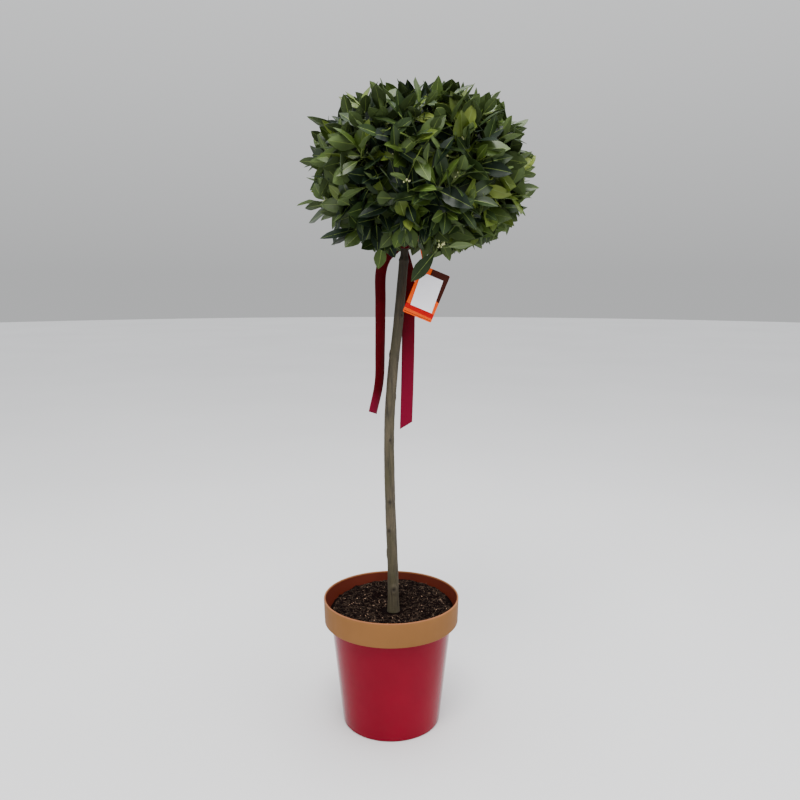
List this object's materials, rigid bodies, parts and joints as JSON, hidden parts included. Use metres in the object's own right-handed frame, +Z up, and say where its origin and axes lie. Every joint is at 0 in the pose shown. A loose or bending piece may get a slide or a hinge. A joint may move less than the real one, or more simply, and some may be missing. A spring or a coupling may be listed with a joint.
{
  "type": "potted standard bay tree",
  "caption": "Clipped standard bay tree: a round head of glossy leaves on one clear stem, in a collared plastic pot, with a satin ribbon and a blank price label.",
  "frame": {"origin": "centre of the pot's flat underside", "axes": "+Z up along the stem, -Y towards the front with the label, +X to the right seen from the front"},
  "size_m": [0.4006, 0.3663, 1.1592],
  "materials": {
    "pot_plastic": "gloss",
    "compost": "matte",
    "bark": "matte",
    "leaf": "satin",
    "ribbon_satin": "satin",
    "label_card": "gloss",
    "label_paper": "matte"
  },
  "bodies": {
    "root": {"pot": "pot_plastic", "compost": "compost", "trunk": "bark", "bough_low_1": "bark", "bough_low_2": "bark", "bough_low_3": "bark", "bough_low_4": "bark", "bough_low_5": "bark", "bough_high_1": "bark", "bough_high_2": "bark", "bough_high_3": "bark", "bough_high_4": "bark", "bough_top": "bark", "ribbon_band": "ribbon_satin", "ribbon_knot": "ribbon_satin", "ribbon_tail_left": "ribbon_satin", "ribbon_tail_right": "ribbon_satin", "label_card": "label_card", "label_sticker": "label_paper", "foliage_low_1": "leaf", "foliage_low_2": "leaf", "foliage_low_3": "leaf", "foliage_low_4": "leaf", "foliage_low_5": "leaf", "foliage_high_1": "leaf", "foliage_high_2": "leaf", "foliage_high_3": "leaf", "foliage_high_4": "leaf", "foliage_top": "leaf"}
  },
  "joints": []
}
